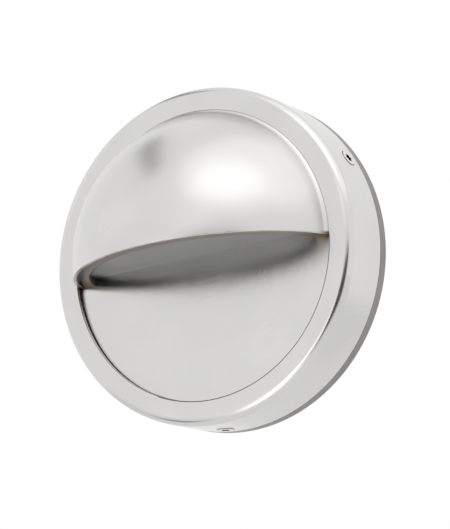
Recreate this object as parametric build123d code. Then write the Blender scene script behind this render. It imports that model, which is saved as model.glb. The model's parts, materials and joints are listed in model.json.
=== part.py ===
from build123d import *
import os
from math import asin, atan2, cos, pi, radians, sin, sqrt

# A round eyelid step light. Each piece is drawn with the light lying on its back: X to the right,
# Y up the wall and Z out of the wall. stand() then turns it upright, so that the wall is the
# plane Y = 0, +Z is up and the hood looks towards -Y. Lengths are in millimetres.

# Cover
COVER_RADIUS = 70.0
COVER_DEPTH = 30.0
COVER_WALL = 3.0
COVER_EDGE = 3.2
COVER_SEAM = 0.15
COVER_BACK_EDGE = 0.3
RING_WIDTH = 10.0
OPENING_EDGE = 0.25
LIP = 1.5

# Insert: the hood, its rim, the plate below it and the ring that holds them
SHEET = 1.5
HOOD_HEIGHT = 45.7
HOOD_DROP = 3.0
HOOD_FOOT = 3.0
FOOT_RISE = 2.6
FOOT_CLEAR = 0.05
LIP_CLEAR = 0.3
INSERT_GASKET = 1.0
GASKET_CLEAR = 0.2
FLANGE_CLEAR = 0.3
SHELF_SIDE = 8.4
SHELF_REACH = 4.4
SHELF_LEG = 8.0
BEZEL = 2.0
BEZEL_WIDTH = 5.0
WELD_GAP = 0.05
CIRCLIP = 1.5
CIRCLIP_WIDTH = 3.6
CIRCLIP_SINK = 1.0
CIRCLIP_GROOVE_CLEAR = 0.1
CIRCLIP_GAP = 12.0
CIRCLIP_EAR = 2.4
CIRCLIP_EAR_HOLE = 1.1
CIRCLIP_EAR_SINK = 0.2

# Lens
LENS_GASKET = 1.0
LENS = 3.0
LENS_CLEAR = 0.6
LENS_FRAME = 1.5
LENS_SCREW_INSET = 2.2
LENS_SCREW_ANGLES = (21.0, 57.7)

# Light engine
REFLECTOR_SIDE = 5.2
REFLECTOR_FRONT = 22.0
REFLECTOR_BACK_GAP = 1.6
REFLECTOR_WALL = 1.2
REFLECTOR_HEIGHT = 15.5
REFLECTOR_TAPER = 5.0
REFLECTOR_FLANGE = 2.4
BOARD_LAP = 1.0
BOARD_BACK_GAP = 0.6
BOARD_DEPTH = 20.0
BOARD = 1.6
BOARD_SCREW_ROOM = 2.2
CHIP = 3.5
CHIP_HEIGHT = 0.8
CHIP_COUNT = 6
CHIP_ROOM = 0.65
SINK_BASE = 3.0
FIN = 1.5
FIN_COUNT = 11
FIN_ROOM = 1.2
BAR = 2.0
BAR_BELOW = 3.0
BAR_HEIGHT = 7.0
BAR_ROOM = 0.6
BAR_SCREW_INSET = 2.3

# Back plate
BAND = 4.6
BAND_EDGE = 0.3
FLOOR = 3.0
COLLAR_WALL = 3.0
COLLAR_HEIGHT = 13.4
COLLAR_GAP = 0.5
SEAL_GROOVE = 1.7
SEAL_GROOVE_SIDE = 0.12
SEAL_START = 1.3
SEAL_RUN = 0.1
WALL_GASKET = 1.5
WALL_GASKET_WIDTH = 7.0
WALL_GASKET_MARGIN = 2.0
WALL_GASKET_CLEAR = 0.1
SLOT_SPACING = 90.0
SLOT_WIDTH = 5.0
SLOT_LENGTH = 9.0

# Side screws
SCREW_ANGLES = {"right": 30.0, "left": 150.0, "bottom": 270.0}
SCREW_TURN = -4.1
SCREW_DEPTH = 12.0
SCREW_RADIUS = 2.0
SCREW_LENGTH = 7.0
SCREW_HEAD = 1.3
SCREW_HEAD_RADIUS = 3.4
SCREW_PROUD = 0.3
SCREW_SEAL = 0.3
SCREW_HEAD_CLEAR = 0.3
SCREW_SEAT_GAP = 0.05
SCREW_THREAD_CLEAR = 0.05
SCREW_NOTCH_CLEAR = 0.3
SCREW_POINT = 0.6
DRIVE_RADIUS = 1.95
DRIVE_LOBE = 0.55
DRIVE_DEPTH = 1.1

# Cable entry
CABLE_RADIUS = 4.0
ENTRY_Y = 13.0
ENTRY_HOLE = 8.0
GROMMET_CLEAR = 0.1
GROMMET_LOW = 0.2
GROMMET_FLANGE = 2.5
GROMMET_FLANGE_HEIGHT = 2.0
GROMMET_NECK = 2.0
GROMMET_TIP = 1.2
GROMMET_HEIGHT = 10.0

# Terminal block and earth point
TERMINAL_ROOM = 4.8
TERMINAL_Y = 34.0
TERMINAL_LENGTH = 30.0
TERMINAL_WIDTH = 14.0
TERMINAL_HEIGHT = 14.0
TERMINAL_WAYS = 3
TERMINAL_PITCH = 9.5
TERMINAL_WIRE = 2.0
TERMINAL_WIRE_HEIGHT = 5.0
TERMINAL_WELL = 2.2
TERMINAL_WELL_DEPTH = 4.0
TERMINAL_SCREW = 2.0
TERMINAL_SCREW_HEIGHT = 2.4
EARTH_X = 42.0
EARTH_Y = 20.0
EARTH_STUD = 2.0
EARTH_STUD_HEIGHT = 11.0
EARTH_WASHER = 4.5
EARTH_WASHER_HEIGHT = 0.8
EARTH_NUT_FLAT = 7.0
EARTH_NUT_HEIGHT = 3.2
THREAD_CLEAR = 0.1

# Driver
DRIVER_Y = -32.0
DRIVER_LENGTH = 56.0
DRIVER_WIDTH = 32.0
DRIVER_HEIGHT = 16.0
DRIVER_WALL = 1.6
DRIVER_LID = 1.6
DRIVER_EAR = 7.0
DRIVER_EAR_WIDTH = 8.0
DRIVER_EAR_HEIGHT = 2.0
DRIVER_LEDGE = 3.0
DRIVER_LEDGE_SIDE = 4.0
DRIVER_POST = 2.6
DRIVER_POST_SINK = 1.0
DRIVER_BOARD = 1.2
DRIVER_BOARD_CLEAR = 0.4
COIL_LENGTH = 14.0
COIL_WIDTH = 12.0
COIL_HEIGHT = 7.5
CAPACITOR = 4.0
CAPACITOR_HEIGHT = 8.0
SMALL_CAPACITOR = 2.8
SMALL_CAPACITOR_HEIGHT = 6.5

# Plug and socket between the light engine and the driver
PLUG_X = 22.0
PLUG_LENGTH = 16.0
PLUG_WIDTH = 8.0
TONGUE_LENGTH = 13.0
TONGUE_WIDTH = 5.0
TONGUE_REACH = 7.0
TONGUE_CLEAR = 0.3
SOCKET_WALL = 2.0
SOCKET_HEIGHT = 12.0

# Small screws: thread radius, head radius and head height
SMALL_SCREW = (1.25, 2.2, 1.5)
SMALL_SCREW_CLEAR = 0.1
SMALL_SCREW_SLOT = 0.6
FLOOR_BITE = 1.8
BEZEL_BITE = 1.4
FLANGE_BITE = 1.1
SINK_BITE = 2.2

# Places that follow from the sizes above
cover_inner = COVER_RADIUS - COVER_WALL
cover_back = BAND + COVER_SEAM
opening_radius = COVER_RADIUS - RING_WIDTH
lip_back = COVER_DEPTH - LIP
plate_front = lip_back - INSERT_GASKET
plate_back = plate_front - SHEET
flange_radius = cover_inner - FLANGE_CLEAR
dome_base = opening_radius - LIP_CLEAR
dome_radius = (dome_base ** 2 + HOOD_HEIGHT ** 2) / (2 * HOOD_HEIGHT)
dome_centre = plate_front + HOOD_HEIGHT - dome_radius
dome_inner = dome_radius - SHEET
bezel_outer = sqrt(dome_inner ** 2 - HOOD_DROP ** 2) - WELD_GAP
bezel_inner = bezel_outer - BEZEL_WIDTH
dome_mouth = sqrt(dome_inner ** 2 - (plate_front - dome_centre) ** 2)
foot_middle = COVER_DEPTH + FOOT_RISE
foot_reach = sqrt((dome_radius + HOOD_FOOT) ** 2 - (foot_middle - dome_centre) ** 2)
foot_radius = opening_radius - FOOT_CLEAR
bezel_top = BEZEL - HOOD_DROP
lens_low = bezel_top + LENS_GASKET
lens_top = lens_low + LENS
lens_radius = bezel_outer - LENS_CLEAR
lens_back = plate_back - SHELF_REACH
frame_top = lens_top + LENS_FRAME
lens_screw_ring = lens_radius - LENS_SCREW_INSET
shelf_half = sqrt(lens_radius ** 2 - (lens_back - dome_centre) ** 2) - SHELF_SIDE
circlip_outer = cover_inner + CIRCLIP_SINK
circlip_inner = circlip_outer - CIRCLIP_WIDTH
circlip_back = plate_back - CIRCLIP
reflector_back = plate_back + REFLECTOR_BACK_GAP
reflector_front = reflector_back + REFLECTOR_FRONT
reflector_corner = sqrt(lens_radius ** 2 - (reflector_front + REFLECTOR_FLANGE - dome_centre) ** 2)
reflector_half = reflector_corner - REFLECTOR_FLANGE - REFLECTOR_SIDE
reflector_top_half = reflector_half - REFLECTOR_TAPER
board_low = frame_top + REFLECTOR_HEIGHT
board_back = plate_front + BOARD_BACK_GAP
board_front = board_back + BOARD_DEPTH
board_middle = (board_back + board_front) / 2
board_top = board_low + BOARD
board_half = reflector_top_half + BOARD_LAP
board_screw_x = reflector_top_half - SMALL_SCREW[1] - BOARD_SCREW_ROOM
chip_reach = board_screw_x - SMALL_SCREW[1] - CHIP_ROOM - CHIP / 2
chip_pitch = 2 * chip_reach / (CHIP_COUNT - 1)
sink_top = board_top + SINK_BASE
fin_room = dome_inner - FIN_ROOM
fin_top = sqrt(fin_room ** 2 - board_half ** 2 - (board_front - dome_centre) ** 2)
bar_low = board_top - BAR_BELOW
bar_high = bar_low + BAR_HEIGHT
bar_middle = (bar_low + bar_high) / 2
bar_half = sqrt((circlip_inner - BAR_ROOM) ** 2 - bar_high ** 2)
bar_back = plate_back - BAR
bar_screw_x = bar_half - BAR_SCREW_INSET
collar_outer = cover_inner - COLLAR_GAP
collar_inner = collar_outer - COLLAR_WALL
collar_top = BAND + COLLAR_HEIGHT
seal_radius = (SEAL_GROOVE + COLLAR_GAP - SEAL_RUN) / 2
seal_ring = collar_outer - SEAL_GROOVE + seal_radius
seal_middle = BAND + SEAL_START + seal_radius
wall_gasket_outer = COVER_RADIUS - WALL_GASKET_MARGIN
wall_gasket_inner = wall_gasket_outer - WALL_GASKET_WIDTH
head_top = COVER_RADIUS + SCREW_PROUD
head_seat = head_top - SCREW_HEAD
head_floor = head_seat - SCREW_SEAL - SCREW_SEAT_GAP
screw_tip = head_seat - SCREW_LENGTH
terminal_top = FLOOR + TERMINAL_HEIGHT
terminal_corner = sqrt((collar_inner - TERMINAL_ROOM) ** 2 - (TERMINAL_Y + TERMINAL_WIDTH / 2) ** 2)
terminal_x = TERMINAL_LENGTH / 2 - terminal_corner
driver_top = FLOOR + DRIVER_HEIGHT
driver_board_low = FLOOR + DRIVER_WALL + DRIVER_LEDGE
driver_board_top = driver_board_low + DRIVER_BOARD
driver_screw_x = DRIVER_LENGTH / 2 + DRIVER_EAR / 2
driver_post_x = DRIVER_LENGTH / 2 - DRIVER_WALL - DRIVER_POST + DRIVER_POST_SINK
socket_top = FLOOR + SOCKET_HEIGHT
tongue_tip = socket_top - TONGUE_REACH

FAR = 200.0
LOW_ALIGN = (Align.CENTER, Align.CENTER, Align.MIN)


# Shapes that several pieces share

def disc(radius, low, high, x=0.0, y=0.0):
    """Upright cylinder between two heights."""
    return Pos(x, y, low) * Cylinder(radius, high - low, align=LOW_ALIGN)


def ring(outer, inner, low, high):
    """Washer round the light's axis."""
    return disc(outer, low, high) - disc(inner, low - 1, high + 1)


def block(x_range, y_range, z_range):
    """Box between two values on each axis."""
    sizes = [high - low for low, high in (x_range, y_range, z_range)]
    middle = [(high + low) / 2 for low, high in (x_range, y_range, z_range)]
    return Pos(*middle) * Box(*sizes)


def rod(radius, x_range, y, z):
    """Cylinder along X."""
    length = x_range[1] - x_range[0]
    middle = (x_range[0] + x_range[1]) / 2
    return Pos(middle, y, z) * Rot(0, 90, 0) * Cylinder(radius, length)


def shelf_disc(radius, low, high, back):
    """Level D-shaped plate under the dome: round about the dome's centre, straight at the back."""
    middle = (low + high) / 2
    whole = Pos(0, middle, dome_centre) * Rot(90, 0, 0) * Cylinder(radius, high - low)
    return whole & block((-FAR, FAR), (low - 1, high + 1), (back, FAR))


def small_screw(x, y, seat, bite):
    """Slotted pan-head screw that points towards the wall, with its head on the height seat."""
    shank, head, height = SMALL_SCREW
    body = disc(shank, seat - bite, seat, x, y) + disc(head, seat, seat + height, x, y)
    slot_half = SMALL_SCREW_SLOT / 2
    slot = block((x - head, x + head), (y - slot_half, y + slot_half), (seat + height / 2, FAR))
    return body - slot


def small_hole(x, y, low, high):
    """Hole that a small screw's shank goes through or into."""
    return disc(SMALL_SCREW[0] + SMALL_SCREW_CLEAR, low, high, x, y)


def out_along(angle, piece):
    """Turns a piece drawn along Z, with Z as its distance from the light's axis, to a side screw."""
    return Pos(0, 0, SCREW_DEPTH) * Rot(0, 0, angle + SCREW_TURN) * Rot(0, 90, 0) * piece


def stand(piece):
    """Turns a piece from its back to upright."""
    return Rot(90, 0, 0) * piece


# Pieces on the wall

def base_plate():
    body = disc(COVER_RADIUS, 0, BAND)
    body = chamfer(body.edges().group_by(Axis.Z)[-1], BAND_EDGE)
    body -= disc(collar_inner, FLOOR, FAR)
    body -= ring(wall_gasket_outer, wall_gasket_inner, -1, WALL_GASKET)
    for side in (-1, 1):
        slot = extrude(SlotOverall(SLOT_LENGTH, SLOT_WIDTH), FAR)
        body -= Pos(side * SLOT_SPACING / 2, 0, -1) * slot
        low = FLOOR - FLOOR_BITE - SMALL_SCREW_CLEAR
        body -= small_hole(side * driver_screw_x, DRIVER_Y, low, FAR)
    return body - disc(ENTRY_HOLE, -1, FAR, 0, ENTRY_Y)


def base_collar():
    """Ring welded on the back plate, with the seal's groove and a notch for each side screw."""
    body = ring(collar_outer, collar_inner, BAND, collar_top)
    groove_half = seal_radius + SEAL_GROOVE_SIDE
    body -= ring(FAR, collar_outer - SEAL_GROOVE, seal_middle - groove_half, seal_middle + groove_half)
    notch_half = SCREW_RADIUS + SCREW_NOTCH_CLEAR
    for angle in SCREW_ANGLES.values():
        notch = rod(notch_half, (collar_inner - 1, cover_inner), 0, SCREW_DEPTH)
        notch += block((collar_inner - 1, cover_inner), (-notch_half, notch_half), (SCREW_DEPTH, FAR))
        body -= Rot(0, 0, angle + SCREW_TURN) * notch
    return body


def wall_gasket():
    outer = wall_gasket_outer - WALL_GASKET_CLEAR
    inner = wall_gasket_inner + WALL_GASKET_CLEAR
    return ring(outer, inner, 0, WALL_GASKET)


def cover_seal():
    return Pos(0, 0, seal_middle) * Torus(seal_ring, seal_radius)


def cable_grommet():
    flange_top = FLOOR + GROMMET_FLANGE_HEIGHT
    neck_wide = CABLE_RADIUS + GROMMET_NECK
    neck_thin = CABLE_RADIUS + GROMMET_TIP
    body = disc(ENTRY_HOLE - GROMMET_CLEAR, GROMMET_LOW, FLOOR)
    body += disc(ENTRY_HOLE + GROMMET_FLANGE, FLOOR, flange_top)
    neck = Cone(neck_wide, neck_thin, GROMMET_HEIGHT - flange_top, align=LOW_ALIGN)
    body += Pos(0, 0, flange_top) * neck
    body -= disc(CABLE_RADIUS, -1, FAR)
    return Pos(0, ENTRY_Y, 0) * body


def terminal_places():
    first = terminal_x - TERMINAL_PITCH * (TERMINAL_WAYS - 1) / 2
    return [first + TERMINAL_PITCH * way for way in range(TERMINAL_WAYS)]


def terminal_block():
    x_range = (terminal_x - TERMINAL_LENGTH / 2, terminal_x + TERMINAL_LENGTH / 2)
    y_range = (TERMINAL_Y - TERMINAL_WIDTH / 2, TERMINAL_Y + TERMINAL_WIDTH / 2)
    body = block(x_range, y_range, (FLOOR, terminal_top))
    for x in terminal_places():
        wire = Pos(x, TERMINAL_Y, FLOOR + TERMINAL_WIRE_HEIGHT) * Rot(90, 0, 0)
        body -= wire * Cylinder(TERMINAL_WIRE, TERMINAL_WIDTH + 2)
        body -= disc(TERMINAL_WELL, terminal_top - TERMINAL_WELL_DEPTH, FAR, x, TERMINAL_Y)
    return body


def terminal_screws():
    low = terminal_top - TERMINAL_WELL_DEPTH
    high = low + TERMINAL_SCREW_HEIGHT
    slot_half = SMALL_SCREW_SLOT / 2
    screws = []
    for x in terminal_places():
        slot = block((-FAR, FAR), (TERMINAL_Y - slot_half, TERMINAL_Y + slot_half), ((low + high) / 2, FAR))
        screws.append(disc(TERMINAL_SCREW, low, high, x, TERMINAL_Y) - slot)
    return screws


def earth_stud():
    return disc(EARTH_STUD, FLOOR, FLOOR + EARTH_STUD_HEIGHT, EARTH_X, EARTH_Y)


def earth_washer():
    high = FLOOR + EARTH_WASHER_HEIGHT
    washer = disc(EARTH_WASHER, FLOOR, high, EARTH_X, EARTH_Y)
    return washer - disc(EARTH_STUD + THREAD_CLEAR, 0, FAR, EARTH_X, EARTH_Y)


def earth_nut():
    low = FLOOR + EARTH_WASHER_HEIGHT
    hexagon = RegularPolygon(EARTH_NUT_FLAT / 2, 6, major_radius=False)
    nut = Pos(EARTH_X, EARTH_Y, low) * extrude(hexagon, EARTH_NUT_HEIGHT)
    return nut - disc(EARTH_STUD + THREAD_CLEAR, 0, FAR, EARTH_X, EARTH_Y)


def driver_box(inset, low, high):
    """Box on the driver's outline, drawn in by inset."""
    half_length = DRIVER_LENGTH / 2 - inset
    half_width = DRIVER_WIDTH / 2 - inset
    y_range = (DRIVER_Y - half_width, DRIVER_Y + half_width)
    return block((-half_length, half_length), y_range, (low, high))


def driver_case():
    body = driver_box(0, FLOOR, driver_top)
    room = driver_box(DRIVER_WALL, FLOOR + DRIVER_WALL, FAR)
    ledges = driver_box(DRIVER_WALL, FLOOR + DRIVER_WALL, driver_board_low)
    inner_length = DRIVER_LENGTH / 2 - DRIVER_WALL - DRIVER_LEDGE_SIDE
    inner_width = DRIVER_WIDTH / 2 - DRIVER_WALL - DRIVER_LEDGE_SIDE
    ledges -= block((-inner_length, inner_length), (-FAR, FAR), (-FAR, FAR))
    ledges -= block((-FAR, FAR), (DRIVER_Y - inner_width, DRIVER_Y + inner_width), (-FAR, FAR))
    body = body - room + ledges
    ear_end = DRIVER_LENGTH / 2 + DRIVER_EAR
    ear_top = FLOOR + DRIVER_EAR_HEIGHT
    half = DRIVER_EAR_WIDTH / 2
    ears = block((-ear_end, ear_end), (DRIVER_Y - half, DRIVER_Y + half), (FLOOR, ear_top))
    body += ears - driver_box(DRIVER_WALL / 2, 0, FAR)
    for side in (-1, 1):
        body += disc(DRIVER_POST, FLOOR + DRIVER_WALL, driver_top, side * driver_post_x, DRIVER_Y)
        body -= small_hole(side * driver_post_x, DRIVER_Y, driver_top - SINK_BITE - SMALL_SCREW_CLEAR, FAR)
        body -= small_hole(side * driver_screw_x, DRIVER_Y, -1, FAR)
    return body


def driver_board():
    board = driver_box(DRIVER_WALL + DRIVER_BOARD_CLEAR, driver_board_low, driver_board_top)
    for side in (-1, 1):
        board -= disc(DRIVER_POST + DRIVER_BOARD_CLEAR, 0, FAR, side * driver_post_x, DRIVER_Y)
        half = DRIVER_POST + DRIVER_BOARD_CLEAR
        x_range = sorted((side * driver_post_x, side * FAR))
        board -= block(x_range, (DRIVER_Y - half, DRIVER_Y + half), (0, FAR))
    return board


def driver_parts():
    """Coil and capacitors that stand on the driver's board."""
    low = driver_board_top
    coil = Box(COIL_LENGTH, COIL_WIDTH, COIL_HEIGHT, align=LOW_ALIGN)
    coil = Pos(-DRIVER_LENGTH / 8, DRIVER_Y, low) * coil
    side_x = DRIVER_LENGTH / 5
    big = disc(CAPACITOR, low, low + CAPACITOR_HEIGHT, side_x, DRIVER_Y - DRIVER_WIDTH / 5)
    small = disc(SMALL_CAPACITOR, low, low + SMALL_CAPACITOR_HEIGHT, side_x, DRIVER_Y + DRIVER_WIDTH / 5)
    return [coil, big, small]


def driver_lid():
    lid = driver_box(0, driver_top, driver_top + DRIVER_LID)
    for side in (-1, 1):
        lid -= small_hole(side * driver_post_x, DRIVER_Y, 0, FAR)
    return lid


def driver_lid_screws():
    seat = driver_top + DRIVER_LID
    bite = DRIVER_LID + SINK_BITE
    return [small_screw(side * driver_post_x, DRIVER_Y, seat, bite) for side in (-1, 1)]


def driver_case_screws():
    seat = FLOOR + DRIVER_EAR_HEIGHT
    bite = DRIVER_EAR_HEIGHT + FLOOR_BITE
    return [small_screw(side * driver_screw_x, DRIVER_Y, seat, bite) for side in (-1, 1)]


def plug_box(half_length, half_width, low, high):
    """Box about the plug's axis."""
    x_range = (PLUG_X - half_length, PLUG_X + half_length)
    return block(x_range, (bar_middle - half_width, bar_middle + half_width), (low, high))


def connector_socket():
    half_length = TONGUE_LENGTH / 2 + TONGUE_CLEAR
    half_width = TONGUE_WIDTH / 2 + TONGUE_CLEAR
    body = plug_box(half_length + SOCKET_WALL, half_width + SOCKET_WALL, FLOOR, socket_top)
    return body - plug_box(half_length, half_width, tongue_tip - TONGUE_CLEAR, FAR)


# Pieces that come off with the cover

def cover_shell():
    body = disc(COVER_RADIUS, cover_back, COVER_DEPTH)
    body = fillet(body.edges().group_by(Axis.Z)[-1], COVER_EDGE)
    body = chamfer(body.edges().group_by(Axis.Z)[0], COVER_BACK_EDGE)
    opening = disc(opening_radius, 0, COVER_DEPTH)
    rounding = disc(opening_radius + OPENING_EDGE, COVER_DEPTH - OPENING_EDGE, COVER_DEPTH)
    rounding -= Pos(0, 0, COVER_DEPTH - OPENING_EDGE) * Torus(opening_radius + OPENING_EDGE, OPENING_EDGE)
    body -= disc(cover_inner, 0, lip_back)
    body -= opening + rounding
    groove_low = circlip_back - CIRCLIP_GROOVE_CLEAR
    groove_high = plate_back + CIRCLIP_GROOVE_CLEAR
    body -= disc(circlip_outer + CIRCLIP_GROOVE_CLEAR, groove_low, groove_high)
    for angle in SCREW_ANGLES.values():
        body -= out_along(angle, disc(SCREW_HEAD_RADIUS + SCREW_HEAD_CLEAR, head_floor, FAR))
        body -= out_along(angle, disc(SCREW_RADIUS + SCREW_THREAD_CLEAR, cover_inner - COVER_WALL, FAR))
    return body


def insert_gasket():
    return ring(flange_radius, foot_radius + GASKET_CLEAR, plate_front, lip_back)


def on_arc(middle, radius, angle):
    """Point of the hood's outline, as distance from the axis and depth, at an angle from the front."""
    return (middle[0] + radius * sin(angle), middle[1] + radius * cos(angle))


def hood_dome():
    """Part of a hollow ball, open below, with a rounded foot and a skirt that is welded on the plate."""
    ball = (0, dome_centre)
    foot = (foot_reach, foot_middle)
    meet = atan2(foot_reach, foot_middle - dome_centre)
    rest = pi + asin((foot_reach - foot_radius) / HOOD_FOOT)
    seat = asin(dome_mouth / dome_inner)
    crown = on_arc(ball, dome_radius, 0)
    ball_end = on_arc(ball, dome_radius, meet)
    foot_end = on_arc(foot, HOOD_FOOT, rest)
    foot_corner = (foot_radius, plate_front)
    mouth = (dome_mouth, plate_front)
    inner_crown = on_arc(ball, dome_inner, 0)
    outline = [
        ThreePointArc(crown, on_arc(ball, dome_radius, meet / 2), ball_end),
        ThreePointArc(ball_end, on_arc(foot, HOOD_FOOT, (meet + pi + rest) / 2), foot_end),
        Line(foot_end, foot_corner),
        Line(foot_corner, mouth),
        ThreePointArc(mouth, on_arc(ball, dome_inner, seat / 2), inner_crown),
        Line(inner_crown, crown),
    ]
    whole = revolve(Plane.XZ * make_face(outline), Axis.Z, 360)
    return whole & block((-FAR, FAR), (-HOOD_DROP, FAR), (0, FAR))


def eyelid_plate():
    """Flat plate below the hood, with a rim all round and an opening behind the dome."""
    body = disc(flange_radius, plate_back, plate_front)
    body -= disc(dome_mouth, 0, FAR) & block((-FAR, FAR), (lens_low, FAR), (0, FAR))
    for side in (-1, 1):
        body -= small_hole(side * bar_screw_x, bar_middle, 0, plate_back + FLANGE_BITE + SMALL_SCREW_CLEAR)
    return body


def lens_shelf():
    """Angle strip welded to the plate's back, under the lens's straight edge."""
    x_range = (-shelf_half, shelf_half)
    body = block(x_range, (lens_low - SHEET, lens_low), (lens_back, plate_back))
    leg = block(x_range, (lens_low - SHELF_LEG, lens_low), (plate_back - SHEET, plate_back))
    return body + leg


def circlip():
    """Split ring in the cover's groove, with two holed ears, that holds the plate."""
    body = ring(circlip_outer, circlip_inner, circlip_back, plate_back)
    half_gap = CIRCLIP_GAP / 2
    body -= block((-half_gap, half_gap), (-FAR, 0), (0, FAR))
    ear_x = half_gap + CIRCLIP_EAR
    ear_ring = circlip_outer - CIRCLIP_EAR - CIRCLIP_EAR_SINK
    ear_y = -sqrt(ear_ring ** 2 - ear_x ** 2)
    for side in (-1, 1):
        body += disc(CIRCLIP_EAR, circlip_back, plate_back, side * ear_x, ear_y)
        body -= disc(CIRCLIP_EAR_HOLE, 0, FAR, side * ear_x, ear_y)
    return body


def lens_screw_places():
    """x and depth of the screws through the lens and its frame."""
    places = []
    for angle in LENS_SCREW_ANGLES:
        x = lens_screw_ring * sin(radians(angle))
        depth = dome_centre + lens_screw_ring * cos(radians(angle))
        places += [(-x, depth), (x, depth)]
    return places


def level_rod(radius, low, high, x, depth):
    """Upright rod inside the hood, between two levels."""
    return Pos(x, (low + high) / 2, depth) * Rot(90, 0, 0) * Cylinder(radius, high - low)


def level_hole(low, high, x, depth):
    """Upright hole for a small screw's shank."""
    return level_rod(SMALL_SCREW[0] + SMALL_SCREW_CLEAR, low, high, x, depth)


def hood_bezel():
    """Flat rim welded inside the dome's lower edge."""
    body = shelf_disc(bezel_outer, -HOOD_DROP, bezel_top, plate_front)
    body -= shelf_disc(bezel_inner, -HOOD_DROP - 1, bezel_top + 1, 0)
    for x, depth in lens_screw_places():
        body -= level_hole(bezel_top - BEZEL_BITE - SMALL_SCREW_CLEAR, FAR, x, depth)
    return body


def lens_gasket():
    body = shelf_disc(lens_radius, bezel_top, lens_low, plate_front)
    body -= shelf_disc(bezel_inner, bezel_top - 1, lens_low + 1, 0)
    for x, depth in lens_screw_places():
        body -= level_hole(-FAR, FAR, x, depth)
    return body


def lens():
    body = shelf_disc(lens_radius, lens_low, lens_top, lens_back)
    for x, depth in lens_screw_places():
        body -= level_hole(-FAR, FAR, x, depth)
    return body


def reflector_room(grow):
    """Upright prism over the reflector's foot, drawn out by grow."""
    half = reflector_half + grow
    return block((-half, half), (-FAR, FAR), (reflector_back - grow, reflector_front + grow))


def lens_frame():
    body = shelf_disc(lens_radius, lens_top, frame_top, lens_back)
    body -= reflector_room(0)
    for x, depth in lens_screw_places():
        body -= level_hole(-FAR, FAR, x, depth)
    return body


def lens_frame_screws():
    shank, head, height = SMALL_SCREW
    screws = []
    for x, depth in lens_screw_places():
        body = level_rod(shank, bezel_top - BEZEL_BITE, frame_top, x, depth)
        body += level_rod(head, frame_top, frame_top + height, x, depth)
        slot_half = SMALL_SCREW_SLOT / 2
        slot_low = frame_top + height / 2
        body -= block((x - head, x + head), (slot_low, FAR), (depth - slot_half, depth + slot_half))
        screws.append(body)
    return screws


def tapered(grow):
    """Tapered block from the frame up to the board, drawn out by grow all round."""
    middle = (reflector_back + reflector_front) / 2
    half_depth = REFLECTOR_FRONT / 2
    foot = Plane(origin=(0, frame_top, middle), x_dir=(1, 0, 0), z_dir=(0, 1, 0))
    top = Plane(origin=(0, board_low, middle), x_dir=(1, 0, 0), z_dir=(0, 1, 0))
    narrow = grow - REFLECTOR_TAPER
    low_face = foot * Rectangle(2 * (reflector_half + grow), 2 * (half_depth + grow))
    high_face = top * Rectangle(2 * (reflector_half + narrow), 2 * (half_depth + narrow))
    return loft([low_face, high_face])


def reflector():
    body = tapered(REFLECTOR_WALL)
    flange_top = frame_top + REFLECTOR_WALL
    flange = reflector_room(REFLECTOR_FLANGE) & block((-FAR, FAR), (frame_top, flange_top), (-FAR, FAR))
    return body + flange - tapered(0)


def led_board():
    board = block((-board_half, board_half), (board_low, board_top), (board_back, board_front))
    return board - board_screw_holes()


def board_screw_places():
    return [(side * board_screw_x, board_middle) for side in (-1, 1)]


def board_screw_holes():
    holes = [level_hole(board_low - 1, board_top + SINK_BITE + SMALL_SCREW_CLEAR, x, depth)
             for x, depth in board_screw_places()]
    return holes[0] + holes[1]


def board_screws():
    shank, head, height = SMALL_SCREW
    screws = []
    for x, depth in board_screw_places():
        body = level_rod(shank, board_low, board_top + SINK_BITE, x, depth)
        screws.append(body + level_rod(head, board_low - height, board_low, x, depth))
    return screws


def led_chips():
    """Light sources under the board."""
    half = CHIP / 2
    chips = []
    for number in range(CHIP_COUNT):
        x = chip_pitch * number - chip_reach
        chips.append(block((x - half, x + half), (board_low - CHIP_HEIGHT, board_low),
                           (board_middle - half, board_middle + half)))
    return chips


def heat_sink():
    """Finned block above the board, on a bar that is screwed to the back of the plate's rim."""
    body = block((-board_half, board_half), (board_top, sink_top), (bar_back, board_front))
    body += block((-bar_half, bar_half), (bar_low, bar_high), (bar_back, plate_back))
    step = (2 * board_half - FIN) / (FIN_COUNT - 1)
    for number in range(FIN_COUNT):
        x = -board_half + step * number
        body += block((x, x + FIN), (sink_top, fin_top), (board_back, board_front))
    body -= board_screw_holes()
    for side in (-1, 1):
        body -= small_hole(side * bar_screw_x, bar_middle, 0, FAR)
    return body


def heat_sink_screws():
    shank, head, height = SMALL_SCREW
    screws = []
    for side in (-1, 1):
        x = side * bar_screw_x
        body = disc(shank, bar_back, plate_back + FLANGE_BITE, x, bar_middle)
        screws.append(body + disc(head, bar_back - height, bar_back, x, bar_middle))
    return screws


def connector_plug():
    body = plug_box(PLUG_LENGTH / 2, PLUG_WIDTH / 2, socket_top + TONGUE_CLEAR, bar_back)
    return body + plug_box(TONGUE_LENGTH / 2, TONGUE_WIDTH / 2, tongue_tip, socket_top + 1)


# Side screws

def cover_screw(angle):
    """Sunk cap screw with a six-lobed recess and a pointed tip."""
    body = disc(SCREW_RADIUS, screw_tip, head_seat)
    body = chamfer(body.edges().group_by(Axis.Z)[0], SCREW_POINT)
    body += disc(SCREW_HEAD_RADIUS, head_seat, head_top)
    lobe_ring = DRIVE_RADIUS - DRIVE_LOBE
    recess = disc(lobe_ring, head_top - DRIVE_DEPTH, FAR)
    for lobe in range(6):
        recess += Rot(0, 0, 60 * lobe) * disc(DRIVE_LOBE, head_top - DRIVE_DEPTH, FAR, lobe_ring, 0)
    return out_along(angle, body - recess)


def cover_screw_seal(angle):
    low = head_seat - SCREW_SEAL
    body = disc(SCREW_HEAD_RADIUS - THREAD_CLEAR, low, head_seat)
    body -= disc(SCREW_RADIUS + THREAD_CLEAR, 0, FAR)
    return out_along(angle, body)


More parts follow.
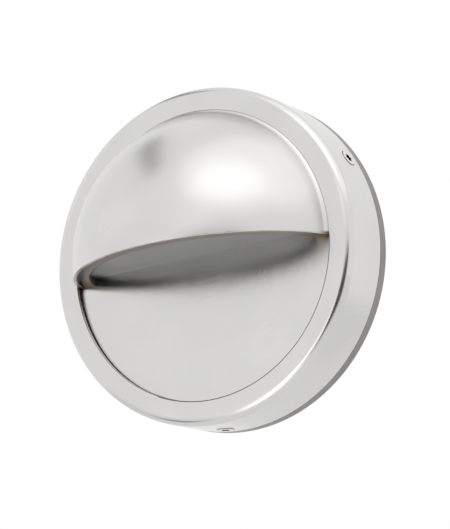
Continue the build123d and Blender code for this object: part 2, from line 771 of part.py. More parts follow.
def pieces():
    """Every piece by name. A list is a group of like solids under one name."""
    made = {
        "base_plate": base_plate(),
        "base_collar": base_collar(),
        "wall_gasket": wall_gasket(),
        "cover_seal": cover_seal(),
        "cable_grommet": cable_grommet(),
        "terminal_block": terminal_block(),
        "terminal_screws": terminal_screws(),
        "earth_stud": earth_stud(),
        "earth_washer": earth_washer(),
        "earth_nut": earth_nut(),
        "driver_case": driver_case(),
        "driver_board": driver_board(),
        "driver_parts": driver_parts(),
        "driver_lid": driver_lid(),
        "driver_lid_screws": driver_lid_screws(),
        "driver_case_screws": driver_case_screws(),
        "connector_socket": connector_socket(),
        "cover_shell": cover_shell(),
        "insert_gasket": insert_gasket(),
        "hood_dome": hood_dome(),
        "eyelid_plate": eyelid_plate(),
        "lens_shelf": lens_shelf(),
        "circlip": circlip(),
        "hood_bezel": hood_bezel(),
        "lens_gasket": lens_gasket(),
        "lens": lens(),
        "lens_frame": lens_frame(),
        "lens_frame_screws": lens_frame_screws(),
        "reflector": reflector(),
        "led_board": led_board(),
        "led_chips": led_chips(),
        "board_screws": board_screws(),
        "heat_sink": heat_sink(),
        "heat_sink_screws": heat_sink_screws(),
        "connector_plug": connector_plug(),
    }
    for side, angle in SCREW_ANGLES.items():
        made["cover_screw_" + side] = cover_screw(angle)
        made["cover_screw_seal_" + side] = cover_screw_seal(angle)
    return made


def main():
    os.makedirs("parts", exist_ok=True)
    for name, piece in pieces().items():
        solids = piece if isinstance(piece, list) else [piece]
        upright = [stand(solid) for solid in solids]
        shape = upright[0] if len(upright) == 1 else Compound(children=upright)
        export_step(shape, "parts/" + name + ".step")
    print("dome radius", round(dome_radius, 2), "dome centre", round(dome_centre, 2))


main()
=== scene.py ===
import json
from math import acos, asin, atan2, cos, hypot, pi, radians, sin

import bmesh
import bpy
from bpy.props import FloatProperty, FloatVectorProperty, PointerProperty
from bpy.types import Operator, Panel, PropertyGroup
from mathutils import Matrix, Vector


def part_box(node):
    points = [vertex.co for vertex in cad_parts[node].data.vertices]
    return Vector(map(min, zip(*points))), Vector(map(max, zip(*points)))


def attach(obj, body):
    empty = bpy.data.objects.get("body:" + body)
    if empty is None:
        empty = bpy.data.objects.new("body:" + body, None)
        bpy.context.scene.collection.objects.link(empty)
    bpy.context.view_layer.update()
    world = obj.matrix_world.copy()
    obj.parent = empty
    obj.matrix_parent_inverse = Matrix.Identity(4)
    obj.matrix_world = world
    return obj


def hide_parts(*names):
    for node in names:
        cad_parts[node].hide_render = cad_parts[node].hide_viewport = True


bl_info = {
    "name": "Eyelid step light",
    "version": (1, 0, 0),
    "blender": (4, 5, 0),
    "location": "3D View > Sidebar > Step light",
    "description": "Dresses the frame of a round eyelid step light with its steel, rubber and "
                   "plastic pieces",
    "category": "Object",
}

# The wall is the plane y = 0, +z is up and the hood looks towards -y, so depth is -y.
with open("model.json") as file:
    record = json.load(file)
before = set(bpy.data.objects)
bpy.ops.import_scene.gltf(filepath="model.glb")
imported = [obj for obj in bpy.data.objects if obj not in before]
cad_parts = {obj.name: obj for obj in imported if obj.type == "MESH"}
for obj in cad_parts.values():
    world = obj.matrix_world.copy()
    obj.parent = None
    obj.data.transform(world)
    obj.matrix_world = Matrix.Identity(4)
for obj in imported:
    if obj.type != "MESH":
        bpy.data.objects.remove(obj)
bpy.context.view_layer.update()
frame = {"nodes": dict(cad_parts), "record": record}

COVER_LOW, COVER_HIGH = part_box("cover_shell")
PLATE_LOW, PLATE_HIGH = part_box("eyelid_plate")
RIM_LOW, RIM_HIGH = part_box("hood_bezel")
SEAL_LOW, SEAL_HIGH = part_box("lens_gasket")
HOOD_LOW, HOOD_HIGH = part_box("hood_dome")
BALL_DEPTH = 0.01136
SCREW_ANGLES = {"right": 25.9, "left": 145.9, "bottom": 265.9}

ROUND = 256          # corners of a full circle
BALL_STEPS = 72      # steps of the hood's arc
FOOT_STEPS = 14      # steps of its foot's arc
OVERSHOOT = 0.002    # how far a cutting shape sticks out
ON_CIRCLE = 0.00002  # how near to a circle a corner lies on it
ON_LEVEL = 0.000005  # how near to a level a corner lies on it
FACING = 0.9         # share of a face's normal that makes it look that way
SHARP = 0.8          # angle of a sharp edge, in radians

# The welds at the ends of the hood's mouth: away from the middle, from the wall and down.
WELD_ACROSS, WELD_DEPTH, WELD_DROP = 0.0594, 0.0285, 0.0025
# Painted shade for the dark gap between the cover's ring and the plate.
JOINT_PAINTED_SHADE = (0.12, 0.096, 0.082)
# Painted shade in the side screws' recesses and on their heads' sides.
RECESS_PAINTED_SHADE = (0.075, 0.056, 0.046)
SHADED_LENS = (0.03, 0.03, 0.03)

# The camera's axes, distance and shift, and its lens in millimetres, fitted to the outline in the
# photograph.
CAMERA_RIGHT = Vector((0.85698, 0.50793, -0.08713))
CAMERA_UP = Vector((0.18934, -0.15308, 0.96991))
CAMERA_BACK = Vector((0.47931, -0.84769, -0.22735))
CAMERA_DISTANCE, CAMERA_LEFT, CAMERA_RISE = 1.05, 0.004549, 0.000462
CAMERA_LENS, CAMERA_SENSOR = 171.4, 36.0


def length(name, description, default):
    return FloatProperty(name=name, description=description, default=default, min=0.0,
                         unit="LENGTH", subtype="DISTANCE", precision=5)


def colour(name, description, default):
    return FloatVectorProperty(name=name, description=description, default=default, size=3,
                               min=0.0, max=1.0, subtype="COLOR")


def level(name, description, default):
    return FloatProperty(name=name, description=description, default=default, min=0.0)


class SteplightCover(PropertyGroup):
    """Sizes of the cover and its side screws."""
    radius: length("Radius", "Half the cover's width", COVER_HIGH.x)
    front: length("Front", "Depth of the ring's face from the wall", -COVER_LOW.y)
    back: length("Back", "Depth of the cover's back edge from the wall", -COVER_HIGH.y)
    wall: length("Wall", "Thickness of the side wall", 0.003)
    ring_width: length("Ring width", "Width of the flat ring round the opening", 0.010)
    lip: length("Lip", "Thickness of the ring at the opening", 0.0015)
    rounding: length("Rounding", "Radius of the front edge", 0.0034)
    opening_edge: length("Opening edge", "Radius of the opening's edge", 0.00025)
    back_edge: length("Back edge", "Chamfer at the back", 0.0003)
    groove_front: length("Groove front", "Depth of the spring ring's groove at its front", 0.0261)
    groove_back: length("Groove back", "Depth of the spring ring's groove at its back", 0.0244)
    groove_radius: length("Groove radius", "Radius at the bottom of the groove", 0.0681)
    screw_depth: length("Screw depth", "Distance of the side screws from the wall", 0.012)
    head_radius: length("Head radius", "Radius of a side screw's head", 0.0034)
    head_top: length("Head top", "Distance of a head's face from the light's axis",
                     COVER_HIGH.x + 0.0003)
    head_height: length("Head height", "Height of a side screw's head", 0.0013)
    shank: length("Shank", "Radius of a side screw's shank", 0.002)
    screw_length: length("Screw length", "Length of a side screw under its head", 0.007)
    head_room: length("Head room", "Gap round a side screw's head", 0.0003)


class SteplightHood(PropertyGroup):
    """Sizes of the hood and the plate below it."""
    sheet: length("Sheet", "Thickness of the sheet", 0.0015)
    ball: length("Ball", "Outer radius of the hood's ball", 0.06184)
    centre: length("Centre", "Depth of the ball's centre from the wall", BALL_DEPTH)
    drop: length("Drop", "How far the hood reaches below the middle", -HOOD_LOW.z)
    foot: length("Foot", "Radius of the rounded foot where the hood meets the ring", 0.003)
    foot_depth: length("Foot depth", "Depth of the foot arc's centre from the wall",
                       -COVER_LOW.y + 0.0026)
    skirt: length("Skirt", "Radius of the skirt below the foot", HOOD_HIGH.x + 0.00003)
    plate_front: length("Plate front", "Depth of the plate's face from the wall", -PLATE_LOW.y)
    plate_radius: length("Plate radius", "Radius of the plate's rim", PLATE_HIGH.x)
    rim_radius: length("Rim radius", "Outer radius of the flat rim in the hood",
                       -RIM_LOW.y - BALL_DEPTH)
    rim_width: length("Rim width", "Width of the flat rim in the hood", 0.005)
    rim_top: length("Rim top", "How far the rim's top lies below the middle", -RIM_HIGH.z)
    seal_lip: length("Seal lip", "Thickness of the lens seal's lip inside the rim", 0.0005)
    seal_radius: length("Seal radius", "Outer radius of the lens seal", -SEAL_LOW.y - BALL_DEPTH)


class SteplightFinish(PropertyGroup):
    """Colours and finishes."""
    steel: colour("Steel", "Cover, hood and plate", (0.665, 0.66, 0.65))
    polish: level("Polish", "Roughness of the cover", 0.20)
    hood_polish: level("Hood polish", "Roughness of the hood", 0.29)
    plate_polish: level("Plate polish", "Roughness of the plate", 0.16)
    base: colour("Base", "Back plate", (0.27, 0.262, 0.255))
    rim: colour("Rim", "Flat rim in the hood", (0.36, 0.345, 0.33))
    tint: colour("Heat tint", "Brown near the welds", (0.10, 0.056, 0.029))
    rubber: colour("Rubber", "Seals", (0.018, 0.018, 0.019))
    lens: colour("Lens", "Frosted panel", (0.54, 0.54, 0.525))


class SteplightStage(PropertyGroup):
    """Light levels of the studio."""
    sky: level("Sky", "Level of the white room on dull surfaces", 0.93)
    key: level("Key", "Level that the soft lamp adds", 0.36)
    halo: level("Halo", "Level that the wide lamp round it adds", 0.28)
    low: level("Low lamp", "Level that the small soft lamp below adds", 0.8)
    floor_height: FloatProperty(name="Floor", description="Height of the floor", default=-0.75,
                                unit="LENGTH")


# Shapes

def only(piece):
    """Selects one piece and makes it the active one."""
    bpy.ops.object.select_all(action="DESELECT")
    piece.select_set(True)
    bpy.context.view_layer.objects.active = piece


def named(name):
    """Names the new piece and puts its place and size into its mesh."""
    piece = bpy.context.view_layer.objects.active
    piece.name = name
    piece.data.name = name
    only(piece)
    bpy.ops.object.transform_apply(location=True, rotation=True, scale=True)
    return piece


def edit(piece):
    """Opens a piece in edit mode."""
    only(piece)
    bpy.ops.object.mode_set(mode="EDIT")


def done():
    """Leaves edit mode."""
    bpy.ops.object.mode_set(mode="OBJECT")


def round_bar(name, radius, start, end, corners=ROUND):
    """Cylinder between two points."""
    start, end = Vector(start), Vector(end)
    turn = (end - start).to_track_quat("Z", "Y").to_euler()
    bpy.ops.object.select_all(action="DESELECT")
    bpy.ops.mesh.primitive_cylinder_add(vertices=corners, radius=radius, depth=(end - start).length,
                                        location=(start + end) / 2, rotation=turn)
    return named(name)


def pick(piece, kind, test):
    """Selects the faces or edges of a piece in edit mode that pass a test."""
    mode = {"faces": "FACE", "edges": "EDGE"}[kind]
    bpy.ops.mesh.select_mode(type=mode)
    bpy.ops.mesh.select_all(action="DESELECT")
    mesh = bmesh.from_edit_mesh(piece.data)
    chosen = [part for part in getattr(mesh, kind) if test(part)]
    if not chosen:
        raise RuntimeError("nothing to select on " + piece.name)
    for part in chosen:
        part.select_set(True)
    bmesh.update_edit_mesh(piece.data)


def on_circle(edge, radius, depth):
    """True where an edge lies on a circle round the light's axis."""
    return all(abs(hypot(v.co.x, v.co.z) - radius) < ON_CIRCLE
               and abs(-v.co.y - depth) < ON_CIRCLE for v in edge.verts)


def on_mouth(edge, drop):
    """True where an edge is a sharp corner of the hood's flat mouth."""
    return (all(abs(v.co.z + drop) < ON_LEVEL for v in edge.verts)
            and edge.calc_face_angle(0.0) > SHARP)


def extrude(x, y, z):
    """Extrudes the selected corners or faces by a way."""
    bpy.ops.mesh.extrude_region_move(TRANSFORM_OT_translate={"value": (x, y, z)})


def round_off(width, steps):
    """Rounds the selected edges."""
    bpy.ops.mesh.bevel(offset=width, segments=steps, profile=0.5, affect="EDGES")


def face_outwards():
    """Turns all faces of the piece in edit mode outwards."""
    bpy.ops.mesh.select_all(action="SELECT")
    bpy.ops.mesh.normals_make_consistent(inside=False)


def arc(middle, radius, start, end, steps):
    """Points of radius and depth on an arc, with angles from the front."""
    angles = [start + (end - start) * n / steps for n in range(steps + 1)]
    return [(middle[0] + radius * sin(angle), middle[1] + radius * cos(angle)) for angle in angles]


def spun(name, outline):
    """Closed shape round the light's axis, from points of radius and depth that start and end
    on the axis."""
    seed_size, join_gap = 0.001, 0.0000002
    bpy.ops.object.select_all(action="DESELECT")
    bpy.ops.mesh.primitive_plane_add(size=seed_size, location=(outline[0][0], -outline[0][1], 0))
    piece = named(name)
    edit(piece)
    bpy.ops.mesh.select_mode(type="VERT")
    bpy.ops.mesh.select_all(action="SELECT")
    bpy.ops.mesh.merge(type="CENTER")
    for old, new in zip(outline, outline[1:]):
        extrude(new[0] - old[0], old[1] - new[1], 0)
    bpy.ops.mesh.select_all(action="SELECT")
    bpy.ops.mesh.spin(steps=ROUND, angle=2 * pi, center=(0, 0, 0), axis=(0, 1, 0))
    bpy.ops.mesh.select_all(action="SELECT")
    bpy.ops.mesh.remove_doubles(threshold=join_gap)
    face_outwards()
    done()
    return piece


def step(old, new):
    """Extrudes the selected end face from one radius and depth to the next."""
    extrude(0, old[1] - new[1], 0)
    if new[0] != old[0]:
        share = new[0] / old[0]
        bpy.ops.transform.resize(value=(share, 1, share), center_override=(0, -new[1], 0))


def modify(piece, kind, **settings):
    """Adds a modifier to the active piece and applies it."""
    bpy.ops.object.modifier_add(type=kind)
    modifier = piece.modifiers[-1]
    for name, value in settings.items():
        setattr(modifier, name, value)
    bpy.ops.object.modifier_apply(modifier=modifier.name)


def cut(piece, tool):
    """Takes one shape out of another and deletes it."""
    only(piece)
    modify(piece, "BOOLEAN", operation="DIFFERENCE", solver="EXACT", object=tool)
    only(tool)
    bpy.ops.object.delete()
    only(piece)


def slice_off(piece, point, keep):
    """Cuts a piece with a plane, keeps the side that keep points to and closes the cut."""
    edit(piece)
    bpy.ops.mesh.select_all(action="SELECT")
    bpy.ops.mesh.bisect(plane_co=point, plane_no=keep, use_fill=True, clear_inner=True)
    done()


def soften(piece, angle=30):
    """Smooth shading that keeps flat faces flat. Stops if the piece is open or inside out."""
    only(piece)
    bpy.ops.object.shade_smooth_by_angle(angle=radians(angle))
    modify(piece, "WEIGHTED_NORMAL", keep_sharp=True)
    mesh = bmesh.new()
    mesh.from_mesh(piece.data)
    open_edges = sum(1 for edge in mesh.edges if len(edge.link_faces) != 2)
    volume = mesh.calc_volume(signed=True)
    mesh.free()
    if open_edges or volume <= 0:
        raise RuntimeError(piece.name + " is open or inside out: " + str(open_edges))


def dress(piece, finish, body, slot, *nodes):
    """Gives a finished piece its material and its place in the frame."""
    piece.data.materials.clear()
    piece.data.materials.append(finish)
    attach(piece, body)
    if nodes:
        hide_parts(*nodes)


# Materials

class Shade:
    """A socket of a node tree. Sums on it add Math nodes."""

    def __init__(self, owner, socket):
        self.owner = owner
        self.socket = socket

    def sum_of(self, operation, *values):
        return self.owner.node("ShaderNodeMath", {"operation": operation}, dict(enumerate(values)))

    def __add__(self, other):
        return self.sum_of("ADD", self, other)

    def __sub__(self, other):
        return self.sum_of("SUBTRACT", self, other)

    def __rsub__(self, other):
        return self.sum_of("SUBTRACT", other, self)

    def __mul__(self, other):
        return self.sum_of("MULTIPLY", self, other)

    def __truediv__(self, other):
        return self.sum_of("DIVIDE", self, other)

    def __rtruediv__(self, other):
        return self.sum_of("DIVIDE", other, self)

    __radd__ = __add__
    __rmul__ = __mul__

    def root(self):
        return self.sum_of("SQRT", self)

    def sine(self):
        return self.sum_of("SINE", self)

    def most(self, other):
        return self.sum_of("MAXIMUM", self, other)

    def fade(self, start, end):
        """0 at start and 1 at end, softly."""
        inputs = {"Value": self, "From Min": start, "From Max": end}
        return self.owner.node("ShaderNodeMapRange", {"interpolation_type": "SMOOTHSTEP"}, inputs)

    def outputs(self, *names):
        """Other outputs of the same node."""
        return [Shade(self.owner, self.socket.node.outputs[name]) for name in names]


def distance(first, *others):
    """Straight distance, from its parts along x, y and z."""
    total = first * first
    for part in others:
        total = total + part * part
    return total.root()


def around(average, share, spread):
    """A value that varies round its average with a share from 0 to 1."""
    return average + (share - 0.5) * spread


def lighter(shade, times):
    """A colour made lighter, or darker if times is under 1."""
    return tuple(min(1.0, part * times) for part in shade)


class Nodes:
    """The node tree of a material or of the room."""

    def __init__(self, holder):
        holder.use_nodes = True
        self.tree = holder.node_tree
        self.tree.nodes.clear()

    def node(self, kind, settings=None, inputs=None, output=0):
        """Adds a node with its settings, then the values or links of its sockets."""
        made = self.tree.nodes.new(kind)
        for name, value in (settings or {}).items():
            setattr(made, name, value)
        for key, value in (inputs or {}).items():
            if isinstance(value, Shade):
                self.tree.links.new(value.socket, made.inputs[key])
            else:
                made.inputs[key].default_value = value
        return Shade(self, made.outputs[output]) if len(made.outputs) else None


class Finish(Nodes):
    """A material that is being put together."""

    def __init__(self, name):
        self.material = bpy.data.materials.new(name)
        super().__init__(self.material)
        self.place = self.node("ShaderNodeTexCoord", output="Object")
        parts = self.node("ShaderNodeSeparateXYZ", inputs={0: self.place})
        self.x, self.y, self.z = parts.outputs("X", "Y", "Z")
        self.across = distance(self.x, self.z)

    def joined(self, x, y, z):
        """Makes one vector of three values."""
        return self.node("ShaderNodeCombineXYZ", inputs={0: x, 1: y, 2: z})

    def noise(self, scale, detail=2.0, where=None):
        """Soft random pattern from 0 to 1."""
        inputs = {"Vector": where or self.place, "Scale": scale, "Detail": detail}
        return self.node("ShaderNodeTexNoise", inputs=inputs)

    def mix(self, share, first, second):
        """Mixes two colours."""
        first = first if isinstance(first, Shade) else (*first, 1.0)
        second = second if isinstance(second, Shade) else (*second, 1.0)
        inputs = {0: share, 6: first, 7: second}
        return self.node("ShaderNodeMix", {"data_type": "RGBA"}, inputs, 2)

    def two_tone(self, share, shade, low, high):
        """A colour that varies between low and high times its shade."""
        return self.mix(share, lighter(shade, low), lighter(shade, high))

    def relief(self, pattern, height, after=None):
        """Normal of a relief that is height metres high."""
        inputs = {"Strength": 1.0, "Distance": height, "Height": pattern}
        if after:
            inputs["Normal"] = after
        return self.node("ShaderNodeBump", inputs=inputs)

    def surface(self, colour, roughness, normal=None, **others):
        """Closes the material. Others are further sockets of its shader, with _ for a space."""
        colour = colour if isinstance(colour, Shade) else (*colour, 1.0)
        inputs = {"Base Color": colour, "Roughness": roughness}
        if normal:
            inputs["Normal"] = normal
        inputs.update({key.replace("_", " "): value for key, value in others.items()})
        shader = self.node("ShaderNodeBsdfPrincipled", inputs=inputs)
        self.node("ShaderNodeOutputMaterial", inputs={"Surface": shader})
        return self.material


def turned_marks(finish, pitch=0.00014, sweep=2.6):
    """Fine rings round the light's axis, as a lathe and a brush leave them."""
    rings = finish.joined(finish.across / pitch, finish.y / pitch,
                          finish.x / finish.across * sweep)
    inputs = {"Vector": rings, "W": finish.z / finish.across * sweep, "Scale": 1.0, "Detail": 2.0}
    return finish.node("ShaderNodeTexNoise", {"noise_dimensions": "4D"}, inputs)


def weld_tint(finish, reach):
    """1 at the two ends of the hood's mouth, fading over reach."""
    along = distance(finish.x) - WELD_ACROSS
    far = distance(along, finish.y + WELD_DEPTH, finish.z + WELD_DROP)
    return far.fade(reach, reach * 0.1)


def turned_steel(name, steel, polish, relief, tint, reach, where=None, shaded_joint=None, dull=0.0,
                 **others):
    """Turned and brushed steel, with marks relief metres high and a brown tint within reach of
    the welds. Where narrows the tint down, the joint argument gives where a dark line of painted
    shade goes, and dull is how dull the tint is, from 0 to 1."""
    finish = Finish(name)
    marks = turned_marks(finish)
    patches = finish.noise(scale=34.0, detail=3.0)
    clouds = finish.noise(scale=11.0, detail=1.0)
    base = finish.two_tone(patches.fade(0.3, 0.7), steel, low=0.97, high=1.02)
    rough = around(polish, patches, spread=0.06)
    rough = around(around(rough, clouds, spread=0.05), marks, spread=0.05)
    share = weld_tint(finish, reach)
    if where:
        share = share * where(finish)
    # Painted shade: a dark line along the joint, where the gap lies in shade.
    if shaded_joint:
        base = finish.mix(shaded_joint(finish), base, JOINT_PAINTED_SHADE)
    return finish.surface(finish.mix(share, base, tint), rough, finish.relief(marks, relief),
                          Metallic=1.0 - share * dull if dull else 1.0, **others)


def cast_metal(name, shade):
    """Cast metal with a fine grain and cloudy patches."""
    finish = Finish(name)
    grain = finish.noise(scale=2600.0, detail=3.0)
    patches = finish.noise(scale=60.0, detail=3.0)
    base = finish.two_tone(patches.fade(0.3, 0.7), shade, low=0.90, high=1.08)
    rough = around(0.42, patches, spread=0.14)
    return finish.surface(base, rough, finish.relief(grain, height=0.000012), Metallic=1.0)


def drawn_metal(name, shade, polish=0.3):
    """Sheet or bar with straight marks along x."""
    along, across = 60.0, 6000.0
    finish = Finish(name)
    stretched = finish.joined(finish.x * along, finish.y * across, finish.z * across)
    marks = finish.noise(scale=1.0, detail=2.0, where=stretched)
    patches = finish.noise(scale=90.0, detail=2.0)
    base = finish.two_tone(patches, shade, low=0.92, high=1.06)
    rough = around(polish, marks, spread=0.15)
    return finish.surface(base, rough, finish.relief(marks, height=0.000006), Metallic=1.0)


def plated_metal(name, shade, polish=0.28):
    """Plated small parts."""
    finish = Finish(name)
    grain = finish.noise(scale=3500.0, detail=2.0)
    patches = finish.noise(scale=300.0, detail=3.0)
    base = finish.two_tone(patches, shade, low=0.88, high=1.08)
    rough = around(polish, patches, spread=0.2)
    return finish.surface(base, rough, finish.relief(grain, height=0.000004), Metallic=1.0)


def screw_metal(name, shade):
    """Side screw: blasted head with painted shade in its recess, and a rolled thread on the shank.
    The limits are distances from the light's axis."""
    pitch, thread_top, thread_fade = 0.0007, 0.0684, 0.0002
    head_face, recess_top, recess_floor, head_seat = 0.07025, 0.07000, 0.0690, 0.0686
    finish = Finish(name)
    grain = finish.noise(scale=4200.0, detail=2.0)
    patches = finish.noise(scale=400.0, detail=3.0)
    turns = (finish.across * (2 * pi / pitch)).sine()
    thread = turns * (finish.across * -1.0 + thread_top).fade(0.0, thread_fade)
    normal = finish.relief(thread, height=0.00012, after=finish.relief(grain, height=0.000006))
    base = finish.two_tone(patches, shade, low=0.92, high=1.06)
    # Painted shade: darkens the recess and the head's sides, everything between its face and its
    # seat.
    recess = (finish.across.fade(head_face, recess_top)
              * finish.across.fade(head_seat, recess_floor))
    base = finish.mix(recess, base, RECESS_PAINTED_SHADE)
    rough = around(0.26, patches, spread=0.2)
    return finish.surface(base, rough, normal, Metallic=1.0)


def seal_rubber(name, shade):
    """Black rubber with a little dust."""
    finish = Finish(name)
    grain = finish.noise(scale=5200.0, detail=2.0)
    dust = finish.noise(scale=240.0, detail=4.0)
    base = finish.two_tone(dust.fade(0.45, 0.8), shade, low=1.0, high=2.4)
    rough = around(0.62, dust, spread=0.2)
    return finish.surface(base, rough, finish.relief(grain, height=0.00001))


def frosted_panel(name, shade):
    """Frosted plastic, paler near the plate, with painted shade in the hood's two corners."""
    pale_start, pale_end = -0.0340, -0.0290
    corner_across, corner_depth, corner_reach, corner_middle = 0.0535, 0.0275, 0.0125, 0.0030
    finish = Finish(name)
    frost = finish.noise(scale=3000.0, detail=3.0)
    cloud = finish.noise(scale=40.0, detail=2.0)
    base = finish.two_tone(cloud, shade, low=0.95, high=1.03)
    base = finish.mix(finish.y.fade(pale_start, pale_end), base, lighter(shade, 1.14))
    # Painted shade: the lens darkens near the two ends of its back edge, deep in the hood's
    # corners.
    far = distance(distance(finish.x) - corner_across, finish.y + corner_depth)
    base = finish.mix(far.fade(corner_reach, corner_middle), base, SHADED_LENS)
    rough = around(0.55, frost, spread=0.12)
    return finish.surface(base, rough, finish.relief(frost, height=0.00001),
                          Transmission_Weight=0.55, IOR=1.58, Specular_IOR_Level=0.12)


def moulded_plastic(name, shade, polish=0.42):
    """Moulded plastic with a fine grain and faint flow marks."""
    finish = Finish(name)
    grain = finish.noise(scale=2400.0, detail=3.0)
    flow = finish.noise(scale=50.0, detail=2.0)
    base = finish.two_tone(flow, shade, low=0.95, high=1.03)
    rough = around(polish, grain, spread=0.12)
    return finish.surface(base, rough, finish.relief(grain, height=0.000012))


def printed_board(name, mask, track):
    """Solder mask with raised copper tracks under it."""
    finish = Finish(name)
    settings = {"feature": "DISTANCE_TO_EDGE", "distance": "EUCLIDEAN"}
    inputs = {"Vector": finish.place, "Scale": 260.0}
    tracks = finish.node("ShaderNodeTexVoronoi", settings, inputs).fade(0.10, 0.05)
    base = finish.mix(tracks, mask, track)
    rough = around(0.34, finish.noise(scale=700.0), spread=0.1)
    return finish.surface(base, rough, finish.relief(tracks, height=0.00003))


def light_chip(name, dark, light):
    """Speckled light source in a case."""
    finish = Finish(name)
    speck = finish.noise(scale=6000.0, detail=2.0)
    base = finish.mix(speck, dark, light)
    rough = around(0.30, speck, spread=0.1)
    return finish.surface(base, rough, finish.relief(speck, height=0.000008))


def sleeved_part(name, dark, light, pitch=0.0011):
    """Driver parts in ribbed sleeves."""
    finish = Finish(name)
    rings = (finish.y * (2 * pi / pitch)).sine() * 0.5 + 0.5
    base = finish.mix(rings, dark, light)
    rough = 0.36 + rings * 0.08
    return finish.surface(base, rough, finish.relief(rings, height=0.00004))


# Operators

def axis_point(angle, from_axis, depth):
    """Point on a side screw's axis."""
    return (cos(radians(angle)) * from_axis, -depth, sin(radians(angle)) * from_axis)


class STEPLIGHT_OT_cover(Operator):
    """Makes the cover: side wall, rounded front edge, flat ring, lip and counterbores"""
    bl_idname = "steplight.cover"
    bl_label = "Cover"

    def execute(self, context):
        size = context.scene.steplight_cover
        look = context.scene.steplight_finish
        opening = size.radius - size.ring_width
        inner = size.radius - size.wall
        cover = round_bar("cover", size.radius, (0, -size.back, 0), (0, -size.front, 0))
        edit(cover)
        pick(cover, "faces", lambda face: face.normal.y < -FACING)
        stops = [(size.radius, size.front), (opening, size.front),
                 (opening, size.front - size.lip), (inner, size.front - size.lip),
                 (inner, size.groove_front), (size.groove_radius, size.groove_front),
                 (size.groove_radius, size.groove_back), (inner, size.groove_back),
                 (inner, size.back)]
        for old, new in zip(stops, stops[1:]):
            step(old, new)
        bpy.ops.mesh.delete(type="ONLY_FACE")
        pick(cover, "faces", lambda face: face.normal.y > FACING and len(face.verts) == ROUND)
        bpy.ops.mesh.delete(type="ONLY_FACE")
        pick(cover, "edges", lambda edge: edge.is_boundary)
        bpy.ops.mesh.bridge_edge_loops()
        for radius, depth, width, steps in ((size.radius, size.front, size.rounding, 12),
                                            (opening, size.front, size.opening_edge, 4),
                                            (size.radius, size.back, size.back_edge, 2)):
            pick(cover, "edges", lambda edge: on_circle(edge, radius, depth))
            round_off(width, steps)
        face_outwards()
        done()
        self.bore(cover, size, inner)
        soften(cover)
        dress(cover, self.steel(size, look, opening), "cover", "cover_steel", "cover_shell")
        return {"FINISHED"}

    def bore(self, cover, size, inner):
        """Cuts the counterbore and the shank's hole of each side screw."""
        washer, shank_room, tool_reach, corners = 0.00035, 0.00005, 0.004, 64
        seat = size.head_top - size.head_height - washer
        bores = ((size.head_radius + size.head_room, seat),
                 (size.shank + shank_room, inner - OVERSHOOT))
        for angle in SCREW_ANGLES.values():
            end = axis_point(angle, size.radius + tool_reach, size.screw_depth)
            for radius, start in bores:
                tool = round_bar("tool", radius, axis_point(angle, start, size.screw_depth), end,
                                 corners)
                cut(cover, tool)

    def steel(self, size, look, opening):
        """The cover's steel, with a dull weld stain and a line of painted shade in the opening."""
        stain_end = -size.front + 0.0001
        joint_shade_start, joint_shade_end = opening + 0.0005, opening + 0.0003
        face_start, face_end = -size.front - 0.0003, -size.front - 0.0001
        left_start, left_end, left_foot = -0.022, -0.035, -0.0017
        hood_start, hood_end = -0.002, -0.004

        def in_opening(finish):
            """Keeps the stain off the ring's face."""
            return finish.y.fade(-size.front, stain_end)

        def painted_joint_shade(finish):
            """Painted shade: a dark line round the opening, below the hood, where the gap between
            the ring and the plate lies in shade. On the left, where the opening's wall shows, only
            the wall's foot is dark."""
            foot = finish.x.fade(left_start, left_end) * left_foot
            return (finish.across.fade(joint_shade_start, joint_shade_end)
                    * (finish.y + foot).fade(face_start, face_end)
                    * finish.z.fade(hood_start, hood_end))

        return turned_steel("Turned cover steel", look.steel, look.polish, relief=0.000014,
                            tint=lighter(look.tint, 3.2), reach=0.009, where=in_opening,
                            shaded_joint=painted_joint_shade, dull=0.9)


class STEPLIGHT_OT_hood(Operator):
    """Makes the hood: a part of a hollow ball, open below"""
    bl_idname = "steplight.hood"
    bl_label = "Hood"

    def execute(self, context):
        size = context.scene.steplight_hood
        look = context.scene.steplight_finish
        above_plate, edge_round, tint_reach, tint_full = 0.0006, 0.0002, 0.0013, 0.0002
        ball = (0.0, size.centre)
        foot_out = size.foot_depth - size.centre
        foot_reach = ((size.ball + size.foot) ** 2 - foot_out ** 2) ** 0.5
        meet = atan2(foot_reach, foot_out)
        rest = pi + asin((foot_reach - size.skirt) / size.foot)
        inner = size.ball - size.sheet
        mouth = acos((size.plate_front - size.centre) / inner)
        foot_arc = arc((foot_reach, size.foot_depth), size.foot, meet + pi, rest, FOOT_STEPS)
        outline = arc(ball, size.ball, 0.0, meet, BALL_STEPS) + foot_arc[1:]
        outline += [(size.skirt, size.plate_front)] + arc(ball, inner, mouth, 0.0, BALL_STEPS)
        hood = spun("hood", outline)
        slice_off(hood, (0, 0, -size.drop), (0, 0, 1))
        edit(hood)
        pick(hood, "edges", lambda edge: on_mouth(edge, size.drop)
             and all(-v.co.y > size.plate_front + above_plate for v in edge.verts))
        round_off(edge_round, steps=3)
        done()
        soften(hood)

        def at_mouth(finish):
            """Keeps the tint at the hood's lower edge."""
            return finish.z.fade(-size.drop + tint_reach, -size.drop + tint_full)

        steel = turned_steel("Pressed hood steel", look.steel, look.hood_polish, relief=0.000010,
                             tint=look.tint, reach=0.006, where=at_mouth)
        dress(hood, steel, "cover", "hood_steel", "hood_dome")
        return {"FINISHED"}


